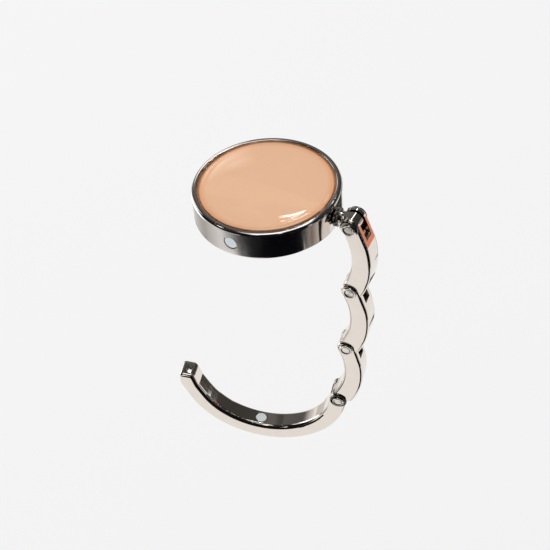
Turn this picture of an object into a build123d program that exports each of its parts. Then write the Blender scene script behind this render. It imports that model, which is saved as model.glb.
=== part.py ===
from build123d import *
import math
import os

# Folding purse hook: a flat disc rests on a table edge, and a swivelling chain of three
# short links and one long hook hangs from its rim or closes round it like a ring.
# Lengths are in millimetres, angles in degrees. The origin is the centre of the underside
# of the grip pad, +Z is up, and +X points from the disc towards the swivel.

# Disc
disc_radius = 22.5
case_height = 9.4
rim_width = 1.75
rim_outer_round = 1.0
rim_inner_round = 0.4
foot_round = 0.6
case_wall = 2.0
deck_thickness = 0.8
insert_recess = 1.1
insert_thickness = 0.3
dome_edge = 0.6
dome_rise = 0.8
cover_thickness = 1.0
cover_ledge = 0.5
pad_inset = 3.5
pad_thickness = 0.8
pad_stand = 0.4
pad_edge_round = 0.3
trim_gap = 0.05

# Swivel
stem_radius = 1.4
stem_bore_gap = 0.05
stem_boss_radius = 2.6
stem_boss_length = 4.0
groove_radius = 1.05
clip_radius = 2.4
clip_thickness = 0.6
clip_mouth = 1.7
washer_radius = 2.5
washer_thickness = 0.4
washer_room = 0.2
stem_tail = 0.9
stem_tail_chamfer = 0.3
collar_radius = 3.0
collar_end_radius = 2.3
collar_length = 1.7
collar_facets = 10
collar_rim_gap = 0.2
flange_radius = 2.2
flange_length = 0.7
flange_gap = 0.3
knuckle_neck_half = 1.9

# Ring that the links and the hook make round the disc when the chain is closed
ring_gap = 0.5
link_span_angle = 61.0
chain_width = 7.0

# Links
ear_radius = 3.0
link_back_reach = 3.25
link_back_drop = 1.2
link_edge_round = 0.8
link_end_spare = 1.8
crease_angle = 16.1
slot_width = 3.6
slot_depth = 4.5
shoulder_radius = 3.6
stop_gap = 0.3
lip_reaches = (2.5, 2.5, 0.2)
stop_corner_height = 1.7
stop_corner_round = 0.5
tongue_radius = 2.6
tongue_width = 2.4
tongue_heel_depth = 2.5
tongue_heel_reach = 2.0

# Rivets and washers
pin_radius = 1.0
ear_bore_gap = 0.02
tongue_bore_gap = 0.1
head_radius = 2.15
head_flat_radius = 1.75
head_height = 0.4
head_dish = 0.12
wide_head_radius = 1.95
washer_rim_radius = 2.85
rim_washer_height = 0.45
rim_washer_round_share = 0.85
seat_gap = 0.02

# Hook
hook_back_reach = 2.7
hook_slot_depth = 2.85
hook_fork_angle = 24.0
hook_inner_round = 1.3
hook_edge_round = 0.5
flare_inner_angle = 147.0
flare_inner_length = 5.3
flare_outer_angle = 150.0
flare_outer_length = 7.8
nose_inner_angle = 172.0
nose_outer_angle = 173.3
nose_inner_reach = 1.34
nose_outer_reach = 0.65
nose_round = 1.6
nose_fold_round = 2.0
nose_outer_round = 1.2

# Magnets
disc_magnet_radius = 2.2
disc_magnet_depth = 2.5
disc_magnet_boss = 3.0
disc_magnet_wall = 1.2
hook_magnet_radius = 2.1
hook_magnet_depth = 1.5
hook_magnet_stand = 0.2
hook_magnet_round = 0.3
magnet_fit_gap = 0.03

# Hanging pose: how far each piece leans inwards from the one above it, and how far the
# loose rivets let each one turn sideways
lean_angles = (1.9, 3.1, 3.1, -0.5)
side_play = 4.0

# One overrun for every cut
overrun = 2.0

# Sizes worked out from the ones above
case_bottom = pad_stand
case_top = case_bottom + case_height
cover_top = case_bottom + cover_thickness
recess_floor = case_top - insert_recess
deck_underside = recess_floor - deck_thickness
insert_seat_radius = disc_radius - rim_width
cavity_radius = disc_radius - case_wall
cover_seat_radius = cavity_radius + cover_ledge
swivel_axis_z = case_bottom + case_height / 2
pad_radius = disc_radius - pad_inset
boss_inner_x = cavity_radius - stem_boss_length
collar_start_x = disc_radius + collar_rim_gap
flange_start_x = collar_start_x + collar_length
knuckle_start_x = flange_start_x + flange_length
swivel_pivot_x = knuckle_start_x + flange_gap + ear_radius
half_width = chain_width / 2
ring_inner_radius = disc_radius + ring_gap
pivot_ring_radius = ring_inner_radius + ear_radius
half_span = link_span_angle / 2
half_pitch = pivot_ring_radius * math.sin(math.radians(half_span))
link_pitch = 2 * half_pitch
ring_center = (-pivot_ring_radius * math.cos(math.radians(half_span)), -half_pitch)
back_center = (ring_center[0], ring_center[1] - link_back_drop)
link_back_radius = pivot_ring_radius + link_back_reach
lower_pivot = (0, -link_pitch)
lip_offset = ear_radius + stop_gap
hook_center_x = -pivot_ring_radius
hook_outer_radius = pivot_ring_radius + hook_back_reach
nose_inner_radius = ring_inner_radius + nose_inner_reach
nose_outer_radius = hook_outer_radius + nose_outer_reach
hook_end_radius = (hook_outer_radius - ring_inner_radius) / 2
hook_end_center_x = (hook_outer_radius + ring_inner_radius) / 2 - pivot_ring_radius


def polar(radius, angle, center=(0, 0)):
    """Point at a radius and an angle, in degrees, round a centre."""
    turn = math.radians(angle)
    return (center[0] + radius * math.cos(turn), center[1] + radius * math.sin(turn))


def opposite_angle(near, other, far):
    """Angle between two sides of a triangle, opposite the third side."""
    return math.degrees(math.acos((near**2 + other**2 - far**2) / (2 * near * other)))


def tangent_angle(point, radius):
    """Angle at which a line from a point touches a circle round the origin on its outer side."""
    distance = math.hypot(*point)
    return math.degrees(math.atan2(point[1], point[0]) + math.acos(radius / distance))


crease = polar(link_back_radius, crease_angle, back_center)
facet_angle = tangent_angle(crease, ear_radius)
lip_angle = facet_angle - lean_angles[1]
first_span_angle = opposite_angle(swivel_pivot_x, pivot_ring_radius, link_pitch)
closed_hook_angle = first_span_angle + 2 * link_span_angle
hook_magnet_angle = 270 - closed_hook_angle


# Small helpers
def side_view(sketch, width):
    """Solid from a side view in X and Z, spread evenly to both sides."""
    return extrude(Plane.XZ * sketch, amount=width / 2, both=True)


def closed_face(*edges):
    """Face inside a closed run of edges."""
    return make_face(list(edges))


def arc(radius, start, end, center=(0, 0)):
    """Arc between two angles round a centre."""
    middle = (start + end) / 2
    return ThreePointArc(*[polar(radius, angle, center) for angle in (start, middle, end)])


def beyond(point, angle, offset, size):
    """Everything past a line that stands at an offset from a point."""
    return Pos(*point) * Rot(0, 0, angle) * Pos(offset + size, 0) * Rectangle(2 * size, 2 * size)


def swivel_bar(radius, start, end):
    """Round bar on the swivel's axis."""
    return Pos((start + end) / 2, 0, swivel_axis_z) * Rot(0, 90, 0) * Cylinder(radius, end - start)


def cross_bar(radius, width, x=0, z=0):
    """Round bar that lies across the chain."""
    return Pos(x, 0, z) * Rot(90, 0, 0) * Cylinder(radius, width)


def magnet_bar(radius, start, end):
    """Round bar from the disc's axis towards the magnet in the rim."""
    return Pos(0, -(start + end) / 2, swivel_axis_z) * Rot(90, 0, 0) * Cylinder(radius, end - start)


def turned(points):
    """Body turned about the disc's axis from a half section of radius and height."""
    return revolve(Plane.XZ * make_face(Polyline(*points, close=True)), Axis.Z)


def round_rim(body, radius, height, size):
    """Round the circular edge of one radius at one height."""
    rims = []
    for edge in body.edges().filter_by(GeomType.CIRCLE):
        same_height = abs(edge.center().Z - height) < trim_gap
        if same_height and abs(edge.radius - radius) < trim_gap:
            rims.append(edge)
    return fillet(rims, size)


def side_edges(body):
    """Edges of the two flat side faces of a link."""
    faces = body.faces().sort_by(Axis.Y)
    return faces[0].edges() + faces[-1].edges()


# Disc
def make_disc_case():
    body = turned([
        (0, deck_underside),
        (cavity_radius, deck_underside),
        (cavity_radius, cover_top),
        (cover_seat_radius, cover_top),
        (cover_seat_radius, case_bottom),
        (disc_radius, case_bottom),
        (disc_radius, case_top),
        (insert_seat_radius, case_top),
        (insert_seat_radius, recess_floor),
        (0, recess_floor),
    ])
    body = round_rim(body, disc_radius, case_top, rim_outer_round)
    body = round_rim(body, insert_seat_radius, case_top, rim_inner_round)
    body = round_rim(body, disc_radius, case_bottom, foot_round)
    wall_middle = (cavity_radius + disc_radius) / 2
    pocket_end = disc_radius - disc_magnet_depth
    body += swivel_bar(stem_boss_radius, boss_inner_x, wall_middle)
    body += magnet_bar(disc_magnet_boss, pocket_end - disc_magnet_wall, wall_middle)
    body -= swivel_bar(stem_radius + stem_bore_gap, boss_inner_x - overrun, disc_radius + overrun)
    washer_end = boss_inner_x - washer_thickness - clip_thickness - overrun
    body -= swivel_bar(washer_radius + washer_room, washer_end, boss_inner_x)
    body -= magnet_bar(disc_magnet_radius + magnet_fit_gap, pocket_end, disc_radius + overrun)
    return body


def make_printed_insert():
    radius = insert_seat_radius - trim_gap
    return Pos(0, 0, recess_floor + insert_thickness / 2) * Cylinder(radius, insert_thickness)


def make_clear_dome():
    radius = insert_seat_radius - trim_gap
    floor = recess_floor + insert_thickness
    edge = floor + dome_edge
    crown = edge + dome_rise
    ball_radius = (radius**2 + dome_rise**2) / (2 * dome_rise)
    slope = math.degrees(math.asin(radius / ball_radius))
    top = arc(ball_radius, 90, 90 - slope, (0, crown - ball_radius))
    sides = Polyline((radius, edge), (radius, floor), (0, floor), (0, crown))
    return revolve(Plane.XZ * closed_face(top, sides), Axis.Z)


def make_base_cover():
    radius = cover_seat_radius - trim_gap
    cover = Pos(0, 0, case_bottom + cover_thickness / 2) * Cylinder(radius, cover_thickness)
    pad_depth = pad_thickness - pad_stand
    pocket = Cylinder(pad_radius + trim_gap, pad_depth + overrun)
    return cover - Pos(0, 0, case_bottom + (pad_depth - overrun) / 2) * pocket


def make_grip_pad():
    pad = Pos(0, 0, pad_thickness / 2) * Cylinder(pad_radius, pad_thickness)
    return round_rim(pad, pad_radius, 0, pad_edge_round)


def make_disc_magnet():
    pocket_end = disc_radius - disc_magnet_depth
    return magnet_bar(disc_magnet_radius, pocket_end + trim_gap, disc_radius - trim_gap)


# Swivel
def make_swivel_stem():
    groove_end = boss_inner_x - washer_thickness - 2 * trim_gap
    groove_start = groove_end - clip_thickness - 2 * trim_gap
    stem = swivel_bar(stem_radius, groove_start - stem_tail, flange_start_x)
    stem = chamfer(stem.edges().group_by(Axis.X)[0], stem_tail_chamfer)
    groove = swivel_bar(stem_radius + overrun, groove_start, groove_end)
    stem -= groove - swivel_bar(groove_radius, groove_start - overrun, groove_end + overrun)
    stem += swivel_bar(flange_radius, flange_start_x, knuckle_start_x)
    neck = Line((knuckle_start_x, -knuckle_neck_half), (knuckle_start_x, knuckle_neck_half))
    knuckle = Pos(swivel_pivot_x, 0) * Circle(tongue_radius)
    plate = make_hull([neck, *knuckle.edges()])
    stem += Pos(0, 0, swivel_axis_z) * side_view(plate, tongue_width)
    return stem - cross_bar(pin_radius + tongue_bore_gap, chain_width, swivel_pivot_x, swivel_axis_z)


def make_swivel_washer():
    end = boss_inner_x - trim_gap
    start = end - washer_thickness
    hole = swivel_bar(stem_radius + stem_bore_gap, start - overrun, end + overrun)
    return swivel_bar(washer_radius, start, end) - hole


def make_swivel_clip():
    end = boss_inner_x - washer_thickness - 3 * trim_gap
    start = end - clip_thickness
    clip = swivel_bar(clip_radius, start, end)
    clip -= swivel_bar(groove_radius + trim_gap, start - overrun, end + overrun)
    mouth_depth = clip_radius + overrun
    mouth = Box(clip_thickness + overrun, clip_mouth, mouth_depth)
    return clip - Pos((start + end) / 2, 0, swivel_axis_z - mouth_depth / 2) * mouth


def make_swivel_collar():
    """Faceted bead on the stem between the rim and the flange."""
    end = flange_start_x - trim_gap
    stations = (
        (collar_start_x, collar_end_radius),
        ((collar_start_x + end) / 2, collar_radius),
        (end, collar_end_radius),
    )
    sections = []
    for x, radius in stations:
        plane = Plane(origin=(x, 0, swivel_axis_z), x_dir=(0, 1, 0), z_dir=(1, 0, 0))
        sections.append(plane * RegularPolygon(radius, collar_facets))
    bead = loft(sections, ruled=True)
    return bead - swivel_bar(stem_radius + stem_bore_gap, collar_start_x - overrun, end + overrun)


# Links
def link_blank():
    """Curved bar of a link with its round upper end, flat facet and rounded long edges."""
    end_angle = half_span + math.degrees(link_end_spare / pivot_ring_radius)
    ear = arc(ear_radius, 180 + half_span, facet_angle)
    facet = Line(polar(ear_radius, facet_angle), crease)
    back = arc(link_back_radius, crease_angle, -end_angle, back_center)
    inside = arc(ring_inner_radius, -end_angle, half_span, ring_center)
    end = Line(back @ 1, inside @ 0)
    blank = side_view(closed_face(ear, facet, back, end, inside), chain_width)
    long_edges = [edge for edge in side_edges(blank) if abs(edge.length - end.length) > trim_gap]
    return fillet(long_edges, link_edge_round)


def lower_end_cut(lip_reach):
    """Room for the next piece's ears, with a lip left that lies over its facet."""
    below = beyond(lower_pivot, lip_angle - 90, 0, link_pitch)
    room = Pos(*lower_pivot) * Circle(shoulder_radius) + below
    room -= beyond(lower_pivot, lip_angle, lip_offset, link_pitch)
    return room + beyond(lower_pivot, lip_angle - 90, lip_reach, link_pitch)


def tongue_outline(has_heel):
    """Side view of the tongue that the next piece's fork takes."""
    root = Pos(0, shoulder_radius) * Rectangle(2 * tongue_radius, 2 * shoulder_radius)
    shape = Circle(tongue_radius) + root
    if has_heel:
        heel = Rectangle(tongue_heel_reach, tongue_heel_depth)
        shape += Pos(tongue_heel_reach / 2, -tongue_heel_depth / 2) * heel
    return Pos(*lower_pivot) * shape - Pos(*ring_center) * Circle(ring_inner_radius)


def stop_corner():
    """Squared inner corner of the first link's ears, which stops against the flange."""
    corner = Pos(-ear_radius / 2, stop_corner_height / 2) * Rectangle(ear_radius, stop_corner_height)
    block = side_view(corner, chain_width)
    edges = block.edges().filter_by(Axis.Y).group_by(Axis.X)[0]
    return fillet(edges.group_by(Axis.Z)[-1], stop_corner_round)


def make_link(number):
    link = link_blank()
    if number == 1:
        link += stop_corner()
    link -= side_view(lower_end_cut(lip_reaches[number - 1]), chain_width + overrun)
    link -= fork_slot(slot_depth)
    link += side_view(tongue_outline(has_heel=number == 3), tongue_width)
    link -= cross_bar(pin_radius + ear_bore_gap, chain_width + overrun)
    return link - cross_bar(pin_radius + tongue_bore_gap, chain_width, 0, -link_pitch)


def fork_slot(depth):
    """Slot between the two ears, open at the top, the back and the inside."""
    height = depth + ear_radius + overrun
    reach = 4 * ear_radius + overrun
    return Pos(0, 0, height / 2 - depth) * Box(reach, slot_width, height)


# Hook
def hook_point(radius, angle):
    """Point of the hook's side view, with the angle counted along the hook."""
    return polar(radius, -angle, (hook_center_x, 0))


def flare_point(radius, angle, length):
    """Point that a straight run reaches when it leaves the hook's circle at an angle."""
    start = hook_point(radius, angle)
    return polar(length, -angle - 90, start)


def cross_edges(body, point):
    """Edges straight across the chain at a point of the side view."""
    edges = body.edges().filter_by(Axis.Y)
    return [edge for edge in edges if math.dist((edge.center().X, edge.center().Z), point) < trim_gap]


def hook_bow():
    """Long curved bar of the hook, which ends in a flared nose with a rounded tip."""
    center = (hook_center_x, 0)
    start = hook_fork_angle / 2
    outside = arc(hook_outer_radius, -start, -flare_outer_angle, center)
    inside = arc(ring_inner_radius, -flare_inner_angle, -start, center)
    knee = flare_point(hook_outer_radius, flare_outer_angle, flare_outer_length)
    fold = flare_point(ring_inner_radius, flare_inner_angle, flare_inner_length)
    outer_tip = hook_point(nose_outer_radius, nose_outer_angle)
    inner_tip = hook_point(nose_inner_radius, nose_inner_angle)
    tip = Polyline(outside @ 1, knee, outer_tip, inner_tip, fold, inside @ 0)
    butt = Line(inside @ 1, outside @ 0)
    bow = side_view(closed_face(outside, tip, inside, butt), chain_width)
    bow = fillet(cross_edges(bow, fold), nose_fold_round)
    bow = fillet(cross_edges(bow, inner_tip), nose_round)
    inner = [edge for edge in side_edges(bow) if abs(hook_radius(edge) - ring_inner_radius) < trim_gap]
    bow = fillet(inner, hook_inner_round)
    bow = fillet(cross_edges(bow, outer_tip), nose_outer_round)
    outer = [edge for edge in side_edges(bow) if hook_radius(edge) > hook_outer_radius - trim_gap]
    return fillet(outer, hook_edge_round)


def hook_radius(edge):
    """Distance from the hook's centre to the middle of an edge."""
    middle = edge @ (1 / 2)
    return math.hypot(middle.X - hook_center_x, middle.Z)


def hook_fork_block():
    """Upper end of the hook, full in section where the fork is cut."""
    center = (hook_center_x, 0)
    top = arc(hook_end_radius, 180, 0, (hook_end_center_x, 0))
    outside = arc(hook_outer_radius, 0, -hook_fork_angle, center)
    inside = arc(ring_inner_radius, -hook_fork_angle, 0, center)
    butt = Line(outside @ 1, inside @ 0)
    block = side_view(closed_face(top, outside, butt, inside), chain_width)
    long_edges = [edge for edge in side_edges(block) if abs(edge.length - butt.length) > trim_gap]
    return fillet(long_edges, hook_edge_round)


def hook_magnet_bar(radius, start, end):
    """Round bar along the hook's radius at the place of its magnet."""
    turn = Pos(hook_center_x, 0, 0) * Rot(0, 90 + hook_magnet_angle, 0)
    return turn * Pos(0, 0, (start + end) / 2) * Cylinder(radius, end - start)


def make_hook_link():
    hook = hook_bow() + hook_fork_block()
    hook -= fork_slot(hook_slot_depth)
    hook -= cross_bar(pin_radius + ear_bore_gap, chain_width + overrun)
    pocket_end = ring_inner_radius + hook_magnet_depth
    pocket = hook_magnet_bar(hook_magnet_radius + magnet_fit_gap, ring_inner_radius - overrun, pocket_end)
    return hook - pocket


def make_hook_magnet():
    pocket_end = ring_inner_radius + hook_magnet_depth
    face = ring_inner_radius - hook_magnet_stand
    magnet = hook_magnet_bar(hook_magnet_radius, face, pocket_end - trim_gap)
    rims = magnet.edges().filter_by(GeomType.CIRCLE).sort_by(hook_radius)
    return fillet(rims[0], hook_magnet_round)


# Rivets and washers
def across_chain(points):
    """Body turned about a hinge's axis from a half section of radius and side position."""
    section = make_face(Polyline(*points, close=True))
    return revolve(section, Axis.Y)


def has_washers(number):
    """Whether a joint is the first or the last of the chain, which have washers."""
    return number == 1 or number == len(lean_angles)


def make_pin(number):
    """Rivet with a dished head on each side of the chain."""
    wide = has_washers(number)
    rim = wide_head_radius if wide else head_radius
    seat = half_width + seat_gap
    if wide:
        seat += rim_washer_height + seat_gap
    top = seat + head_height
    flat = head_flat_radius - head_dish
    half = [(0, 0), (pin_radius, 0), (pin_radius, seat), (rim, seat)]
    half += [(rim, top - head_dish), (rim - head_dish, top), (head_flat_radius, top)]
    half += [(flat, top - head_dish), (0, top - head_dish)]
    end = across_chain(half)
    return end + mirror(end, Plane.XZ)


def make_rim_washer(side):
    """Round-edged washer under a rivet head, on the near or the far side."""
    bore = pin_radius + ear_bore_gap
    low = half_width + seat_gap
    high = low + rim_washer_height
    ring = across_chain([(bore, low), (washer_rim_radius, low), (washer_rim_radius, high), (bore, high)])
    rim = ring.edges().filter_by(GeomType.CIRCLE).group_by(Axis.Y)[-1].sort_by(SortBy.LENGTH)[-1]
    ring = fillet(rim, rim_washer_height * rim_washer_round_share)
    return ring if side > 0 else mirror(ring, Plane.XZ)


# Hanging pose
def joint_places():
    """Place of each pin and of the piece that hangs from it, from the swivel down."""
    place = Pos(swivel_pivot_x, 0, swivel_axis_z)
    places = []
    for lean in lean_angles:
        pin_place = place * Rot(0, 0, side_play)
        piece_place = pin_place * Rot(0, lean, 0)
        places.append((pin_place, piece_place))
        place = piece_place * Pos(0, 0, -link_pitch)
    return places


def build_parts():
    parts = {
        "disc_case": make_disc_case(),
        "printed_insert": make_printed_insert(),
        "clear_dome": make_clear_dome(),
        "base_cover": make_base_cover(),
        "grip_pad": make_grip_pad(),
        "disc_magnet": make_disc_magnet(),
        "swivel_stem": make_swivel_stem(),
        "swivel_washer": make_swivel_washer(),
        "swivel_clip": make_swivel_clip(),
        "swivel_collar": make_swivel_collar(),
    }
    for number, (pin_place, piece_place) in enumerate(joint_places(), start=1):
        parts[f"pin_{number}"] = pin_place * make_pin(number)
        if has_washers(number):
            parts[f"rim_washer_{number}_near"] = pin_place * make_rim_washer(-1)
            parts[f"rim_washer_{number}_far"] = pin_place * make_rim_washer(1)
        if number <= len(lip_reaches):
            parts[f"link_{number}"] = piece_place * make_link(number)
        else:
            parts["hook_link"] = piece_place * make_hook_link()
            parts["hook_magnet"] = piece_place * make_hook_magnet()
    return parts


if __name__ == "__main__":
    os.makedirs("parts", exist_ok=True)
    for name, solid in build_parts().items():
        export_step(solid, f"parts/{name}.step")
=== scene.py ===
import bmesh
import bpy
import math
from mathutils import Matrix, Vector


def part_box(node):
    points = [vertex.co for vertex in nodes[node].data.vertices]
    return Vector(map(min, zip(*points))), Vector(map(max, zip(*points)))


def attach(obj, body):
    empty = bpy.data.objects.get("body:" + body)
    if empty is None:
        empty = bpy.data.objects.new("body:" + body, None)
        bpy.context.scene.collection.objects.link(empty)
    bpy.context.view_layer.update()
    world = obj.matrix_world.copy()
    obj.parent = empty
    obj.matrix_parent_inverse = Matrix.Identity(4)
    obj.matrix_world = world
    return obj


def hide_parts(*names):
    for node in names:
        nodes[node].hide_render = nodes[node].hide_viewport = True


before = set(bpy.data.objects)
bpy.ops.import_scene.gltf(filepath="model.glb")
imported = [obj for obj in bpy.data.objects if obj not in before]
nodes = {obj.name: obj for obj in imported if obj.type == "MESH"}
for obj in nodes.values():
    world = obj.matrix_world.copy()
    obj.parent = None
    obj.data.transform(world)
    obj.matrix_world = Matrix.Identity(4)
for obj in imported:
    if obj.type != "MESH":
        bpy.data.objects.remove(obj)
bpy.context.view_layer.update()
scene = bpy.context.scene

# The scene is in metres, in the part's own frame. Sections of turned pieces are in millimetres.
MM = 0.001


# ---------- materials
# Noises as (scale, detail, roughness).
CLOUDS = (260, 4, 0.6)
POLISHING = (900, 2, 0.5)
WAVES = (130, 2, 0.4)
MAGNET_GRAIN = (2600, 3, 0.6)
MAGNET_PITS = (1800, 3, 0.6)
RUBBER_CLOUDS = (90, 3.0, 0.55)
RUBBER_GRAIN = (3200, 3, 0.6)
PAPER_FIBRE = (2400, 3, 0.6)
RESIN_CLOUDS = (220, 3.0, 0.55)
RESIN_SWELL = (55, 1, 0.4)
# The part of a noise's values that is spread over the whole range of a colour or a roughness.
SPREAD = (0.3, 0.7)
STEEP_SPREAD = (0.35, 0.65)
# Polishing lines run across the piece's Y axis; turning marks are rings of a scale and a waver.
POLISHING_STRETCH = (0.12, 1.0, 0.12)
TURNING = (1500, 3.0)
# Heights of bumps in metres.
PLATING_WAVE = 0.000004
COLLAR_WAVE = 0.000006
TURNING_MARK = 0.000012
MAGNET_PIT = 0.00001
RUBBER_RIDGE = 0.00006
FIBRE_RIDGE = 0.000008
RESIN_WAVE = 0.00001
# How strongly each bump turns the light.
WAVE_STRENGTH = 0.35
TURNING_STRENGTH = 0.6
PIT_STRENGTH = 0.4
RUBBER_STRENGTH = 0.5
FIBRE_STRENGTH = 0.2
RESIN_STRENGTH = 0.012


class Mat:
    """A Principled material with a few procedural building blocks."""

    def __init__(self, name, color, roughness, metallic=0.0, space=None):
        self.space = space
        self.m = bpy.data.materials.new(name)
        self.m.use_nodes = True
        self.t = self.m.node_tree
        self.t.nodes.clear()
        self.out = self.t.nodes.new("ShaderNodeOutputMaterial")
        self.b = self.t.nodes.new("ShaderNodeBsdfPrincipled")
        self.t.links.new(self.b.outputs[0], self.out.inputs["Surface"])
        self.b.inputs["Base Color"].default_value = (*color, 1)
        self.b.inputs["Metallic"].default_value = metallic
        self.b.inputs["Roughness"].default_value = roughness
        self.coord = None
        self.height = None

    def set(self, **values):
        for key, value in values.items():
            self.b.inputs[key.replace("_", " ")].default_value = value

    def obj(self):
        """Where a texture sits: in the coordinates that the piece keeps, or else the object's."""
        if self.space:
            if self.coord is None:
                self.coord = self.t.nodes.new("ShaderNodeAttribute")
                self.coord.attribute_name = self.space
            return self.coord.outputs["Vector"]
        if self.coord is None:
            self.coord = self.t.nodes.new("ShaderNodeTexCoord")
        return self.coord.outputs["Object"]

    def math(self, kind, a, b=None):
        n = self.t.nodes.new("ShaderNodeMath")
        n.operation = kind
        for i, v in enumerate((a, b)):
            if v is not None:
                self.t.links.new(v, n.inputs[i])
        return n.outputs[0]

    def split(self, vector):
        n = self.t.nodes.new("ShaderNodeSeparateXYZ")
        self.t.links.new(vector, n.inputs[0])
        return n.outputs

    def rings(self, scale, distortion):
        """Fine turning marks round the piece's own axis."""
        n = self.t.nodes.new("ShaderNodeTexWave")
        n.wave_type = "RINGS"
        n.rings_direction = "Z"
        n.inputs["Scale"].default_value = scale
        n.inputs["Distortion"].default_value = distortion
        n.inputs["Detail"].default_value = 2.0
        self.t.links.new(self.obj(), n.inputs["Vector"])
        return n.outputs["Fac"]

    def stretch(self, scale):
        n = self.t.nodes.new("ShaderNodeMapping")
        n.inputs["Scale"].default_value = scale
        self.t.links.new(self.obj(), n.inputs["Vector"])
        return n.outputs[0]

    def noise(self, scale, detail, rough, vector=None):
        n = self.t.nodes.new("ShaderNodeTexNoise")
        n.inputs["Scale"].default_value = scale
        n.inputs["Detail"].default_value = detail
        n.inputs["Roughness"].default_value = rough
        self.t.links.new(vector or self.obj(), n.inputs["Vector"])
        return n.outputs["Fac"]

    def remap(self, value, a, b, c, d):
        """Values from a to b, spread from c to d."""
        n = self.t.nodes.new("ShaderNodeMapRange")
        for i, v in enumerate((a, b, c, d)):
            n.inputs[i + 1].default_value = v
        self.t.links.new(value, n.inputs[0])
        return n.outputs[0]

    def mix(self, fac, one, two):
        """Colour between two, each a tuple or a socket."""
        n = self.t.nodes.new("ShaderNodeMix")
        n.data_type = "RGBA"
        self.t.links.new(fac, n.inputs["Factor"])
        for socket, v in (("A", one), ("B", two)):
            s = [i for i in n.inputs if i.name == socket and i.type == "RGBA"][0]
            if isinstance(v, tuple):
                s.default_value = (*v, 1)
            else:
                self.t.links.new(v, s)
        return [o for o in n.outputs if o.type == "RGBA"][0]

    def color(self, socket):
        self.t.links.new(socket, self.b.inputs["Base Color"])

    def rough(self, socket):
        self.t.links.new(socket, self.b.inputs["Roughness"])

    def bump(self, socket, distance, strength):
        """Adds a bump on top of those that the material has."""
        n = self.t.nodes.new("ShaderNodeBump")
        n.inputs["Strength"].default_value = strength
        n.inputs["Distance"].default_value = distance
        self.t.links.new(socket, n.inputs["Height"])
        if self.height is not None:
            self.t.links.new(self.height, n.inputs["Normal"])
        self.height = n.outputs[0]
        self.t.links.new(self.height, self.b.inputs["Normal"])


def nickel(name, light, dark, roughness, wave=PLATING_WAVE, space=None):
    """Bright plating: faint clouding, fine polishing lines and a slightly wavy surface."""
    m = Mat(name, light, roughness[0], metallic=1.0, space=space)
    m.color(m.mix(m.remap(m.noise(*CLOUDS), *SPREAD, 0, 1), light, dark))
    lines = m.noise(*POLISHING, m.stretch(POLISHING_STRETCH))
    m.rough(m.remap(lines, *SPREAD, *roughness))
    m.bump(m.noise(*WAVES), wave, WAVE_STRENGTH)
    return m


def magnet(name):
    """Nickel-plated magnet: cool grey, with a cloudy satin surface."""
    m = Mat(name, (0.66, 0.72, 0.73), 0.34, metallic=0.2, space="own")
    grain = m.noise(*MAGNET_GRAIN)
    clouds = m.remap(grain, *SPREAD, 0, 1)
    m.color(m.mix(clouds, (0.60, 0.67, 0.685), (0.80, 0.85, 0.86)))
    m.rough(m.remap(grain, *SPREAD, 0.28, 0.42))
    m.bump(m.noise(*MAGNET_PITS), MAGNET_PIT, PIT_STRENGTH)
    return m


# Name, then light tone, dark tone, least and most roughness, and for turned pieces the height of
# the waves and the layer that keeps the piece's own coordinates.
PLATINGS = {
    "warm_nickel": ((0.86, 0.785, 0.715), (0.83, 0.755, 0.685), (0.05, 0.11)),
    "case_nickel": ((0.80, 0.755, 0.72), (0.77, 0.725, 0.69), (0.07, 0.12)),
    "rivet_nickel": ((0.86, 0.795, 0.73), (0.78, 0.72, 0.66), (0.07, 0.14), PLATING_WAVE, "own"),
    "washer_nickel": ((0.84, 0.77, 0.70), (0.80, 0.73, 0.665), (0.05, 0.1), PLATING_WAVE, "own"),
    # The fourth hinge's washers: the washer nickel darkened, as painted shade for the dark ring
    # round that rivet.
    "washer_painted_shade": ((0.20, 0.19, 0.185), (0.14, 0.135, 0.13), (0.05, 0.1), PLATING_WAVE, "own"),
    "collar_nickel": ((0.50, 0.46, 0.43), (0.22, 0.20, 0.19), (0.05, 0.12), COLLAR_WAVE, "own"),
    "stem_nickel": ((0.80, 0.75, 0.70), (0.72, 0.67, 0.62), (0.05, 0.1)),
    "spring_steel": ((0.46, 0.46, 0.47), (0.40, 0.40, 0.41), (0.25, 0.35)),
    "cover_steel": ((0.62, 0.61, 0.60), (0.56, 0.55, 0.54), (0.2, 0.32)),
}
plated = {name: nickel(name, *values) for name, values in PLATINGS.items()}
rivet = plated["rivet_nickel"]
rivet.bump(rivet.rings(*TURNING), TURNING_MARK, TURNING_STRENGTH)
magnet_face = magnet("magnet_nickel")

rubber = Mat("grip_rubber", (0.035, 0.035, 0.037), 0.82)
grain = rubber.noise(*RUBBER_GRAIN)
rubber_tone = rubber.remap(rubber.noise(*RUBBER_CLOUDS), *STEEP_SPREAD, 0, 1)
rubber.color(rubber.mix(rubber_tone, (0.03, 0.03, 0.032), (0.05, 0.05, 0.052)))
rubber.rough(rubber.remap(grain, *SPREAD, 0.72, 0.9))
rubber.bump(grain, RUBBER_RIDGE, RUBBER_STRENGTH)

# The printed face: peach, with painted shade towards its rim. A warmer, darker band over its outer
# 2 mm stands for the shading seen through the resin's edge, and a thin brown line at its edge is a
# painted reflection and shade for the rim wall and the trough where the dome meets the rim.
PEACH_LIGHT = (0.875, 0.525, 0.325)
PEACH_DARK = (0.855, 0.51, 0.315)
PEACH_PAINTED_EDGE_SHADE = (0.84, 0.41, 0.20)
BROWN_PAINTED_RIM_SHADE = (0.48, 0.20, 0.08)
PAINTED_EDGE_SHADE_REACH = (0.0180, 0.0198)
PAINTED_RIM_SHADE_REACH = (0.0197, 0.0200)

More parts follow.
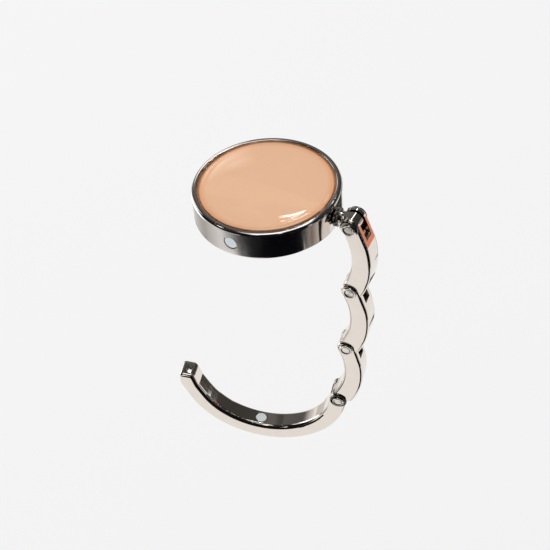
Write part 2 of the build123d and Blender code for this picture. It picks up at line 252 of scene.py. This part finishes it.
peach = Mat("peach_print", (0.78, 0.46, 0.28), 0.5)
fibre = peach.noise(*PAPER_FIBRE)
print_tone = peach.mix(peach.remap(fibre, *STEEP_SPREAD, 0, 1), PEACH_LIGHT, PEACH_DARK)
x, y = peach.split(peach.obj())[:2]
square_x, square_y = peach.math("MULTIPLY", x, x), peach.math("MULTIPLY", y, y)
from_axis = peach.math("SQRT", peach.math("ADD", square_x, square_y))
# Painted shade: the print turns warmer and darker towards its rim, then brown at the very edge.
painted_edge_shade_tone = peach.mix(peach.remap(from_axis, *PAINTED_EDGE_SHADE_REACH, 0, 1), print_tone, PEACH_PAINTED_EDGE_SHADE)
peach.color(peach.mix(peach.remap(from_axis, *PAINTED_RIM_SHADE_REACH, 0, 1), painted_edge_shade_tone, BROWN_PAINTED_RIM_SHADE))
peach.rough(peach.remap(fibre, *SPREAD, 0.45, 0.6))
peach.bump(fibre, FIBRE_RIDGE, FIBRE_STRENGTH)

# The dome's resin: clear to shadow and diffuse rays, so that the face under it is lit evenly.
resin = Mat("clear_resin", (0.99, 0.97, 0.94), 0.015)
resin.set(Transmission_Weight=1.0, IOR=1.48)
resin.rough(resin.remap(resin.noise(*RESIN_CLOUDS), *SPREAD, 0.01, 0.03))
resin.bump(resin.noise(*RESIN_SWELL), RESIN_WAVE, RESIN_STRENGTH)
ray_kind = resin.t.nodes.new("ShaderNodeLightPath")
shadow_or_diffuse = resin.math("MAXIMUM", ray_kind.outputs["Is Shadow Ray"],
                               ray_kind.outputs["Is Diffuse Ray"])
let_through = resin.t.nodes.new("ShaderNodeBsdfTransparent")
chooser = resin.t.nodes.new("ShaderNodeMixShader")
resin.t.links.new(shadow_or_diffuse, chooser.inputs[0])
resin.t.links.new(resin.b.outputs[0], chooser.inputs[1])
resin.t.links.new(let_through.outputs[0], chooser.inputs[2])
resin.t.links.new(chooser.outputs[0], resin.out.inputs["Surface"])

# The CAD pieces that stay as they are.
for names, mat in (
    (("link_1", "link_2", "link_3", "hook_link"), plated["warm_nickel"]),
    (("disc_case",), plated["case_nickel"]),
    (("swivel_stem",), plated["stem_nickel"]),
    (("swivel_washer", "swivel_clip"), plated["spring_steel"]),
    (("base_cover",), plated["cover_steel"]),
    (("grip_pad",), rubber),
    (("printed_insert",), peach),
):
    for node in names:
        nodes[node].data.materials.clear()
        nodes[node].data.materials.append(mat.m)


# ---------- turned pieces
# A rounded corner takes at most this share of the straight line on either side of it.
CORNER_SHARE = 0.499
# A point of a section nearer to the axis than this is on it.
ON_AXIS = 1e-6


def corners(points, steps_in=6):
    """Rounds the corners of a half section given as (radius, height, corner radius)."""
    out = []
    for i, (x, y, r) in enumerate(points):
        if r <= 0 or i in (0, len(points) - 1):
            out.append((x, y))
            continue
        p = Vector((x, y))
        a = Vector(points[i - 1][:2]) - p
        b = Vector(points[i + 1][:2]) - p
        half = a.angle(b) / 2
        cut = min(r / math.tan(half), a.length * CORNER_SHARE, b.length * CORNER_SHARE)
        one, two = p + a.normalized() * cut, p + b.normalized() * cut
        for k in range(steps_in + 1):
            t = k / steps_in
            q = one * (1 - t) ** 2 + p * 2 * t * (1 - t) + two * t ** 2
            out.append((q.x, q.y))
    return out


def turned(name, section, place, body, mat, instead, seg=96, ripple=None, sharp=40):
    """A body turned about the Z axis of a place; its layer "own" keeps its own coordinates."""
    bm = bmesh.new()
    own = bm.verts.layers.float_vector.new("own")
    rows = []
    for r, h in section:
        if r < ON_AXIS:
            v = bm.verts.new((0, 0, h * MM))
            rows.append([v] * seg)
            continue
        row = []
        for i in range(seg):
            a = 2 * math.pi * i / seg
            k = ripple(r, h, a) if ripple else r
            row.append(bm.verts.new((k * math.cos(a) * MM, k * math.sin(a) * MM, h * MM)))
        rows.append(row)
    for one, two in zip(rows, rows[1:]):
        for i in range(seg):
            j = (i + 1) % seg
            ring = []
            for v in (one[i], one[j], two[j], two[i]):
                if v not in ring:
                    ring.append(v)
            if len(ring) > 2:
                bm.faces.new(ring)
    for v in bm.verts:
        v[own] = v.co.copy()
        v.co = place @ v.co
    bmesh.ops.recalc_face_normals(bm, faces=bm.faces)
    mesh = bpy.data.meshes.new(name)
    bm.to_mesh(mesh)
    bm.free()
    mesh.polygons.foreach_set("use_smooth", [True] * len(mesh.polygons))
    mesh.set_sharp_from_angle(angle=math.radians(sharp))
    mesh.materials.append(mat.m)
    o = bpy.data.objects.new(name, mesh)
    scene.collection.objects.link(o)
    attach(o, body)
    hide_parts(*instead)


def frame_at(origin, axis):
    """Place whose Z runs along an axis and whose X leans to the part's +Z."""
    z = Vector(axis).normalized()
    upright = Vector((0, 0, 1))
    x = (upright - z * z.dot(upright)).normalized()
    y = z.cross(x)
    m = Matrix((x, y, z)).transposed().to_4x4()
    m.translation = Vector(origin)
    return m


def middle(node):
    """Middle of a CAD node's box."""
    low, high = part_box(node)
    return (Vector(low) + Vector(high)) / 2


# The hanging chain: each hinge turns the next piece sideways by its play, and each piece leans a
# few degrees from the one above it.
SIDE_PLAY = math.radians(4.0)
LEANS = (1.9, 3.1, 3.1, -0.5)
turn = Matrix.Identity(3)
PIN_AXES = []
for lean in LEANS:
    turn = turn @ Matrix.Rotation(SIDE_PLAY, 3, "Z")
    PIN_AXES.append(turn @ Vector((0, 1, 0)))
    turn = turn @ Matrix.Rotation(math.radians(lean), 3, "Y")
HOOK_TURN = turn

# Rivets and washers: where they sit, as heights from the middle of the pin, and half sections as
# (radius, height above the seat, corner radius).
EAR_FACE = 3.52
WASHER_TOP = 3.99
HEAD_R = 2.15
HEAD_R_ON_WASHER = 1.95
HEAD_DISH = [(0, 0.235, 0), (1.18, 0.25, 0.08), (1.34, 0.13, 0.06), (1.5, 0.22, 0.1),
             (1.62, 0.4, 0.16)]
SHANK_R = 1.0
WASHER_BORE = 1.02
WASHER_R = 2.85
DOMED_WASHER = corners([
    (WASHER_BORE, 0, 0), (WASHER_BORE, 0.45, 0.03), (1.95, 0.45, 0.1), (2.5, 0.36, 0.3),
    (2.83, 0.14, 0.16), (WASHER_R, 0, 0.03), (WASHER_BORE, 0, 0)])
CUPPED_WASHER = corners([
    (WASHER_BORE, 0, 0), (WASHER_BORE, 0.10, 0.03), (1.95, 0.10, 0.1), (2.35, 0.22, 0.2),
    (2.62, 0.45, 0.08), (2.80, 0.42, 0.08), (WASHER_R, 0, 0.03), (WASHER_BORE, 0, 0)])
# The fourth hinge's washers are cupped and plated dark. The dark plating is painted shade for the
# ring round that rivet.
WASHERS = {1: (DOMED_WASHER, plated["washer_nickel"]), 4: (CUPPED_WASHER, plated["washer_painted_shade"])}


def rivet_section(rim, seat):
    """A plain shank with a dished and stepped head at each end."""
    half = [(r, seat + h, c) for r, h, c in HEAD_DISH]
    half += [(rim - 0.12, seat + 0.4, 0.14), (rim, seat + 0.2, 0.1), (rim, seat, 0.03),
             (SHANK_R, seat, 0.0)]
    half = corners(half)
    return half + [(r, -h) for r, h in reversed(half)]


for k in range(1, 5):
    axis = PIN_AXES[k - 1]
    center = middle("pin_%d" % k)
    body = "rivet_%d" % k
    if k in WASHERS:
        section = rivet_section(HEAD_R_ON_WASHER, WASHER_TOP)
    else:
        section = rivet_section(HEAD_R, EAR_FACE)
    turned("rivet_piece_%d" % k, section, frame_at(center, axis), body, rivet,
           ["pin_%d" % k])
    if k in WASHERS:
        section, metal = WASHERS[k]
        for side, outward in (("near", axis * -1), ("far", axis * 1)):
            place = frame_at(center + outward * EAR_FACE * MM, outward)
            turned("washer_%d_%s" % (k, side), section, place, body, metal,
                   ["rim_washer_%d_%s" % (k, side)])

# The collar: two toothed bulges on a plain barrel.
COLLAR_BORE = 1.5
COLLAR_R = 2.35
BULGE_R = 2.45
BULGE_RISE = 0.5
# Middles and half length of the bulges as shares of the collar's length, and where each is cut
# into rows, from its one end at -1 to its other at 1.
BULGE_MIDDLES = (0.25, 0.75)
BULGE_HALF = 0.235
BULGE_ROWS = (-1.0, -0.8, -0.5, 0.0, 0.5, 0.8, 1.0)
TEETH = 11
TOOTH_MEAN = 0.93
TOOTH_SWING = 0.07
TOOTH_VALLEY = -0.8
SMOOTH_BELOW = 2.2

low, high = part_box("swivel_collar")
collar_length = (high[0] - low[0]) / MM
start = Vector((low[0], 0, (low[2] + high[2]) / 2))


def knobs(r, h, a):
    """Small rounded teeth round both bulges, one row set half a pitch from the other."""
    if r < SMOOTH_BELOW:
        return r
    row = 0 if h < collar_length / 2 else 1
    wave = max(TOOTH_VALLEY, math.cos(TEETH * a + row * math.pi))
    return r * (TOOTH_MEAN + TOOTH_SWING * wave)


rows = [(COLLAR_BORE, 0.0, 0), (COLLAR_R, 0.0, 0.05)]
for c in BULGE_MIDDLES:
    for t in BULGE_ROWS:
        rows.append((BULGE_R + BULGE_RISE * math.sqrt(max(0.0, 1 - t * t)),
                     (c + t * BULGE_HALF) * collar_length, 0))
rows += [(COLLAR_R, collar_length, 0.05), (COLLAR_BORE, collar_length, 0), (COLLAR_BORE, 0.0, 0)]
turned("collar_piece", corners(rows), frame_at(start, (1, 0, 0)), "swivel",
       plated["collar_nickel"], ["swivel_collar"], seg=176, ripple=knobs, sharp=60)

# The clear dome: it meets the rim low down in a thin trough and rolls over to a nearly flat top.
TROUGH = 0.25
TROUGH_FLOOR = 0.10
SHOULDER = 0.12
ROLL = 2.6
ROLL_OUT, ROLL_UP = 0.85, 0.9
CROWN = 0.42
CROWN_BOW, CROWN_EDGE = 0.35, 0.65
ARC_STEPS = 40

low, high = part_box("clear_dome")
dome_r = (high[0] - low[0]) / 2 / MM
top_z, floor_z = high[2] / MM, low[2] / MM
shoulder = floor_z + SHOULDER
crown_r = dome_r - TROUGH - ROLL
section = [(0, floor_z), (dome_r, floor_z), (dome_r, floor_z + TROUGH_FLOOR),
           (dome_r - TROUGH, shoulder)]
for i in range(1, ARC_STEPS + 1):
    t = math.pi / 2 * i / ARC_STEPS
    section.append((crown_r + ROLL * math.cos(t) ** ROLL_OUT,
                    shoulder + (top_z - CROWN - shoulder) * math.sin(t) ** ROLL_UP))
for i in range(1, ARC_STEPS + 1):
    u = 1 - i / ARC_STEPS
    section.append((crown_r * u, top_z - CROWN * (CROWN_BOW * u ** 2 + CROWN_EDGE * u ** 6)))
turned("dome_piece", section, Matrix.Identity(4), "disc", resin, ["clear_dome"],
       seg=160, sharp=50)

# The magnets: how far the satin face lies behind the rim, and how deep the rim's bevel is.
FACE_DROP = 0.05
BEVEL_DEPTH = 0.34
# The hook's bar and the rivets lie on circles of this radius.
RING_R = 26.0


def magnet_piece(name, node, body, axis, length, radius, lip):
    """Small round magnet: a satin face in a polished bevelled rim; axis points out of the face."""
    z = Vector(axis).normalized()
    face = max((Vector(v.co) - middle(node)).dot(z) for v in nodes[node].data.vertices) / MM
    place = frame_at(middle(node), axis)
    inner = radius - lip
    end, satin = face - length, face - FACE_DROP
    core = corners([(0, end, 0), (inner, end, 0), (inner, satin, 0.05), (0, satin, 0)], 8)
    turned(name, core, place, body, magnet_face, [node], seg=72, sharp=60)
    bevel = corners([(inner, end, 0), (radius, end, 0), (radius, face - BEVEL_DEPTH, 0.06),
                     (inner, face, 0.05), (inner, end, 0)])
    turned(name + "_rim", bevel, place, body, rivet, [node], seg=72, sharp=60)


magnet_piece("disc_magnet_piece", "disc_magnet", "disc", (0, -1, 0), 2.3, 2.19, 0.3)
hook_center = middle("pin_4") + HOOK_TURN @ Vector((-RING_R, 0, 0)) * MM
magnet_piece("hook_magnet_piece", "hook_magnet", "hook", hook_center - middle("hook_magnet"),
             1.3, 2.1, 0.28)


# ---------- studio
# The metal mirrors cards that nothing else sees. A card's azimuth is in degrees from +Y towards
# +X, and its paint holds a colour and a cover from 0, open, to 1.
FLOOR_Z = -0.30
CARD_LIFT = 0.004
ROOM_R = 1.0
STRIP_CELLS = (40, 10)


def ramp(stops, at):
    """Straight-line value of stops [(place, value), ...] at a place."""
    if at <= stops[0][0]:
        return stops[0][1]
    for (p, v), (q, w) in zip(stops, stops[1:]):
        if at <= q:
            k = (at - p) / (q - p)
            if isinstance(v, tuple):
                return tuple(x + (y - x) * k for x, y in zip(v, w))
            return v + (w - v) * k
    return stops[-1][1]


def steps(a, b, n):
    return [a + (b - a) * i / n for i in range(n + 1)]


def framed(a, b, edge, n):
    """Steps from a to b with a narrow first and last step for a crisp soft edge."""
    return [a] + steps(a + edge, b - edge, n) + [b]


def soft(x, a, b, edge):
    """1 between a and b, falling to 0 over the edge widths (low side, high side) inside them."""
    low, high = edge if isinstance(edge, tuple) else (edge, edge)
    k = 1.0
    if low > 0:
        k = min(k, (x - a) / low)
    if high > 0:
        k = min(k, (b - x) / high)
    return max(0.0, k)


def around(radius, az, z):
    """Point at an azimuth on a level circle round the Z axis."""
    az = math.radians(az)
    return (radius * math.sin(az), radius * math.cos(az), z)


def tone(color, az):
    """A card's colour is one for all of it, or a function of the azimuth."""
    return color(az) if callable(color) else color


def card_paint():
    """Glow in the paint's colour where the card covers, clear elsewhere."""
    m = bpy.data.materials.new("card_paint")
    m.use_nodes = True
    t = m.node_tree
    t.nodes.clear()
    out = t.nodes.new("ShaderNodeOutputMaterial")
    mixer = t.nodes.new("ShaderNodeMixShader")
    clear = t.nodes.new("ShaderNodeBsdfTransparent")
    glow = t.nodes.new("ShaderNodeEmission")
    paint_node = t.nodes.new("ShaderNodeVertexColor")
    paint_node.layer_name = "paint"
    t.links.new(paint_node.outputs["Color"], glow.inputs["Color"])
    t.links.new(paint_node.outputs["Alpha"], mixer.inputs[0])
    t.links.new(clear.outputs[0], mixer.inputs[1])
    t.links.new(glow.outputs[0], mixer.inputs[2])
    t.links.new(mixer.outputs[0], out.inputs["Surface"])
    return m


CARD_PAINT = card_paint()


def card(name, place, paint_at, us, vs):
    """A card that only mirrors see: place(u, v) gives its points, paint_at(u, v) its paint."""
    verts, paints = [], []
    for v in vs:
        for u in us:
            verts.append(place(u, v))
            paints.append(paint_at(u, v))
    n = len(us)
    faces = [(j * n + i, j * n + i + 1, (j + 1) * n + i + 1, (j + 1) * n + i)
             for j in range(len(vs) - 1) for i in range(n - 1)]
    mesh = bpy.data.meshes.new(name)
    mesh.from_pydata(verts, [], faces)
    layer = mesh.color_attributes.new("paint", "FLOAT_COLOR", "POINT")
    for i, c in enumerate(paints):
        layer.data[i].color = c
    mesh.materials.append(CARD_PAINT)
    o = bpy.data.objects.new(name, mesh)
    scene.collection.objects.link(o)
    o.visible_camera = False
    o.visible_diffuse = False
    o.visible_shadow = False
    o.visible_transmission = False
    o.visible_volume_scatter = False


def sky_card(name, az, el, color, edge, radius, cells):
    """A patch of a sphere round the object, between two azimuths and two elevations."""
    def place(u, v):
        v = math.radians(v)
        return around(radius * math.cos(v), u, radius * math.sin(v))

    def paint_at(u, v):
        return (*tone(color, u), soft(u, *az, edge[0]) * soft(v, *el, edge[1]))

    card(name, place, paint_at, steps(*az, cells[0]), steps(*el, cells[1]))


def strip(name, az, heights, radius, color, edge):
    """Upright curved card between two heights."""
    def place(u, v):
        return around(radius, u, v)

    def paint_at(u, v):
        return (*tone(color, u), soft(u, *az, edge[0]) * soft(v, *heights, edge[1]))

    card(name, place, paint_at, framed(*az, edge[0], STRIP_CELLS[0]),
         framed(*heights, edge[1], STRIP_CELLS[1]))


def cut_strip(name, az, low, high, radius, color, edge):
    """Upright curved card whose lower and upper edges follow ramps of the azimuth."""
    def place(u, v):
        return around(radius, u, ramp(low, u) * (1 - v) + ramp(high, u) * v)

    def paint_at(u, v):
        return (*tone(color, u), soft(u, *az, edge[0]) * soft(v, 0, 1, edge[1]))

    card(name, place, paint_at, framed(*az, edge[0], STRIP_CELLS[0]),
         framed(0, 1, edge[1], STRIP_CELLS[1]))


def flat_card(name, place, us, vs, color, edge, cells):
    """Flat card between two values of u and two of v."""
    def paint_at(u, v):
        return (*color, soft(u, *us, edge[0]) * soft(v, *vs, edge[1]))

    card(name, place, paint_at, steps(*us, cells), steps(*vs, cells))


def lamp_card(name, center, aim, size, color, edge):
    """Small flat soft lamp, or a dark flag, that faces a point."""
    z = (Vector(aim) - Vector(center)).normalized()
    x = Vector((0, 0, 1)).cross(z).normalized()
    y = z.cross(x)

    def place(u, v):
        return tuple(Vector(center) + x * u * size[0] + y * v * size[1])

    whole = (-0.5, 0.5)
    flat_card(name, place, whole, whole, color, (edge, edge), 12)


def floor_card(name, az, reach, paint_at, cells=(72, 6)):
    """A piece of a ring on the floor; paint_at(azimuth) gives its paint."""
    def place(u, v):
        return around(v, u, FLOOR_Z + CARD_LIFT)

    card(name, place, lambda u, v: paint_at(u), steps(*az, cells[0]), steps(*reach, cells[1]))


# The dim room behind and above: grey, darker to the right.
BACK_ROOM = [(-78, 0.055), (-66, 0.10), (-45, 0.13), (-28, 0.12), (-8, 0.06), (30, 0.045),
             (60, 0.03), (92, 0.01)]
TOP_ROOM = [(-180, 0.02), (-100, 0.02), (-70, 0.05), (-50, 0.07), (-36, 0.13), (-26, 0.13),
            (-8, 0.055), (30, 0.045), (90, 0.02), (180, 0.02)]


def warm_grey(stops):
    """Faintly warm grey whose value follows a ramp of the azimuth."""
    def color(az):
        g = ramp(stops, az)
        return (g * 1.02, g, g * 0.97)
    return color


back_room, top_room = warm_grey(BACK_ROOM), warm_grey(TOP_ROOM)
BLACK = (0.006, 0.006, 0.007)
CEILING = (2.0, 2.0, 2.0)
# Name, azimuths, elevations, colour, soft edges, radius and cells.
for values in (
    ("room_left", (-80, -20), (-14, 37), back_room, ((4, 0), (20, 0)), ROOM_R, (30, 34)),
    ("room_back", (-20, 94), (-3, 37), back_room, ((0, 4), (3, 0)), ROOM_R, (58, 34)),
    ("room_right", (44, 94), (-15.5, -2), back_room, (6, 0), ROOM_R, (58, 34)),
    ("room_top", (-180, 180), (34, 72), top_room, (0, (0, 3)), ROOM_R * 1.02, (90, 30)),
    ("room_front", (92, 262), (-8, 38), BLACK, (3, (4, 0)), ROOM_R * 0.96, (60, 30)),
    ("front_low", (92, 192), (-26, -2), BLACK, (3, 0), ROOM_R * 0.97, (50, 20)),
    ("overhead", (-180, 180), (76, 90), CEILING, (0, (2, 0)), ROOM_R, (60, 12)),
    ("overhead_right", (-5, 78), (62, 77), CEILING, (5, (3, 0)), ROOM_R * 0.99, (40, 12)),
):
    sky_card(*values)

# The dark side of the table, in front and to the right.
FRONT = [
    (88, (0.16, 0.115, 0.09, 0.85)), (97, (0.05, 0.045, 0.04, 0.97)),
    (101.5, (0.012, 0.012, 0.013, 1.0)), (112, (0.002, 0.002, 0.003, 1.0)),
    (150, (0.002, 0.002, 0.003, 1.0)), (165, (0.005, 0.005, 0.006, 1.0)),
    (178, (0.016, 0.016, 0.017, 1.0)), (186, (0.03, 0.03, 0.03, 0.98)),
    (195, (0.07, 0.07, 0.07, 0.97)), (204, (0.15, 0.15, 0.145, 0.9)),
    (216, (0.2, 0.2, 0.19, 0.7)), (232, (0.3, 0.3, 0.29, 0.0)),
]


def front(az):
    return ramp(FRONT, az)


# Upright cards near the object: wood and dark steps that the chain mirrors, the shade that the
# disc's wall mirrors, and the light at the left.
SALMON = (0.74, 0.27, 0.165)
DARK_WOOD = (0.05, 0.048, 0.046)
strip("wood_strip", (40, 61), (-0.079, -0.046), 0.19, SALMON, (2, 0.002))
strip("dark_step", (5, 35.7), (-0.105, -0.02), 0.118, DARK_WOOD, (1.0, 0.001))
cut_strip("dark_low", (5, 30), [(0, -0.1185)], [(25, -0.1005), (30, -0.0945)], 0.08, DARK_WOOD,
          (0.3, 0.02))
cut_strip("wall_shade", (149, 208), [(180, -0.195), (187, -0.164), (208, -0.160)],
          [(0, -0.112)], 0.186, lambda az: front(az)[:3], (14, 0.08))
strip("left_light", (-112, -73), (-0.13, 0.0), 0.2, (2.4, 2.4, 2.4), (5, 0.01))

# Small lamps for the single highlights: name, middle, the point it faces, size, colour and soft
# edge. The flag keeps the crescent's lamp out of the hook's inner face.
for values in (
    ("dome_lamp", (-0.028, 0.0795, 0.1255), (0.015, -0.006, 0.010),
     (0.026, 0.006), (18, 18, 18), 0.2),
    ("crescent_lamp", (-0.0827, 0.0708, 0.066), (-0.019, 0.0, 0.010),
     (0.055, 0.032), (3.2, 3.05, 2.75), 0.45),
    ("crescent_flag", (-0.033, 0.022, -0.031), (-0.003, -0.01, -0.095),
     (0.034, 0.024), (0.12, 0.118, 0.114), 0.2),
    ("rim_lamp", (-0.064, 0.075, 0.072), (-0.020, 0.010, 0.010),
     (0.022, 0.014), (1.5, 1.5, 1.5), 0.4),
    ("glint_lamp", (-0.023, -0.066, -0.053), (-0.02, -0.011, -0.085),
     (0.007, 0.007), (6, 6, 6), 0.3),
    ("ear_lamp", (0.014, 0.056, 0.064), (0.033, 0.003, 0.008),
     (0.008, 0.004), (5, 5, 5), 0.3),
    ("knuckle_lamp", (0.0162, 0.0654, 0.0805), (0.029, -0.0024, 0.008),
     (0.016, 0.008), (4, 4, 4.2), 0.3),
    ("tip_glint", (-0.0345, -0.0002, -0.0461), (-0.0278, -0.0167, -0.0703),
     (0.0011, 0.0011), (6, 6, 6), 0.2),
    ("spark_lamp", (0.040, -0.040, 0.060), (0.026, 0.0, 0.005),
     (0.009, 0.006), (6, 6, 6), 0.3),
    ("spark_side", (-0.040, -0.040, 0.060), (0.026, 0.0, 0.005),
     (0.012, 0.009), (5, 5, 5), 0.3),
):
    lamp_card(*values)
sky_card("spot_high", (172, 194), (60, 70), (3.0, 3.0, 3.1), (4, 3), ROOM_R * 0.9, (22, 12))

# Dark flags: a level one over the hook's tip and an upright one in front of the hook.
TIP_FLAG_Z = -0.035
HOOK_FLAG_Y = -0.05
flat_card("tip_flag", lambda u, v: (u, v, TIP_FLAG_Z), (-0.051, -0.025), (-0.022, 0.013),
          (0.045, 0.046, 0.05), (0.003, 0.003), 12)
flat_card("hook_flag", lambda u, v: (u, HOOK_FLAG_Y, v), (-0.026, 0.011), (-0.124, -0.088),
          (0.005, 0.005, 0.006), (0.004, 0.003), 10)

# On the floor: the dark front, the brown fall-off to the right and the shade on the left.
RIGHT = [(60, (0.5, 0.42, 0.36, 0.0)), (68, (0.42, 0.34, 0.29, 0.5)),
         (79, (0.28, 0.215, 0.17, 0.9)), (88, (0.13, 0.10, 0.078, 1.0)),
         (96, (0.05, 0.045, 0.04, 1.0))]
LEFT = [(-140, 0.0), (-122, 0.35), (-95, 0.72), (-78, 0.6), (-52, 0.3), (-35, 0.0)]
floor_card("dark_front", (88, 232), (0.342, 0.9), front)
floor_card("brown_edge", (88, 98.3), (0.325, 0.3425), front, cells=(20, 4))
floor_card("dark_near", (98, 163), (0.14, 0.343),
           lambda az: (0.004, 0.004, 0.005, soft(az, 98, 163, (3, 0))))
floor_card("brown_right", (60, 88), (0.325, 0.9), lambda az: ramp(RIGHT, az), cells=(28, 6))
floor_card("shade_left", (-140, -35), (0.325, 0.9),
           lambda az: (0.27, 0.25, 0.225, ramp(LEFT, az)))

FLOOR_HALF = 6
FLOOR_TONE = 0.885
mesh = bpy.data.meshes.new("studio_floor")
mesh.from_pydata([(-FLOOR_HALF, -FLOOR_HALF, 0), (FLOOR_HALF, -FLOOR_HALF, 0),
                  (FLOOR_HALF, FLOOR_HALF, 0), (-FLOOR_HALF, FLOOR_HALF, 0)],
                 [], [(0, 1, 2, 3)])
floor = bpy.data.objects.new("studio_floor", mesh)
floor.location = (0, 0, FLOOR_Z)
scene.collection.objects.link(floor)
paper = bpy.data.materials.new("floor_paper")
paper.use_nodes = True
paper_look = paper.node_tree.nodes["Principled BSDF"].inputs
paper_look["Base Color"].default_value = (FLOOR_TONE, FLOOR_TONE, FLOOR_TONE, 1)
paper_look["Roughness"].default_value = 1.0
paper_look["Specular IOR Level"].default_value = 0.0
mesh.materials.append(paper)

WORLD_STRENGTH = 0.957
world = bpy.data.worlds.new("studio")
scene.world = world
world.use_nodes = True
world.node_tree.nodes["Background"].inputs[0].default_value = (1, 1, 1, 1)
world.node_tree.nodes["Background"].inputs[1].default_value = WORLD_STRENGTH

# One real lamp, which the metal doesn't mirror.
KEY_AT = (-0.9, 0.5, 1.5)
KEY_AIM = (0, 0, -0.1)
KEY_SIZE = 0.8
KEY_WATTS = 3.0
light = bpy.data.lights.new("key", "AREA")
light.shape = "RECTANGLE"
light.size = KEY_SIZE
light.size_y = KEY_SIZE
light.energy = KEY_WATTS
key = bpy.data.objects.new("key", light)
key.location = KEY_AT
key.rotation_euler = (Vector(KEY_AIM) - Vector(KEY_AT)).to_track_quat("-Z", "Y").to_euler()
scene.collection.objects.link(key)
key.visible_glossy = False

# ---------- camera
# Azimuth, elevation, roll, focal length and place come from the fit to the photograph.
AZ, EL, ROLL = (math.radians(a) for a in (32.18, 44.20, -5.68))
FOCAL_PX = 1243.91
PHOTO_PX = 550
SENSOR = 36
CAMERA_AT = (0.15049, -0.23936, 0.24697)
back = Vector((math.sin(AZ) * math.cos(EL), -math.cos(AZ) * math.cos(EL), math.sin(EL)))
side = Vector((math.cos(AZ), math.sin(AZ), 0))
up = back.cross(side)
right = side * math.cos(ROLL) + up * math.sin(ROLL)
top = up * math.cos(ROLL) - side * math.sin(ROLL)
cam_data = bpy.data.cameras.new("camera")
cam_data.sensor_width = SENSOR
cam_data.lens = FOCAL_PX / PHOTO_PX * SENSOR
cam_data.clip_start = 0.01
cam = bpy.data.objects.new("camera", cam_data)
rot = Matrix((right, top, back)).transposed()
cam.matrix_world = Matrix.Translation(CAMERA_AT) @ rot.to_4x4()
scene.collection.objects.link(cam)
scene.camera = cam

scene.view_settings.view_transform = "Standard"
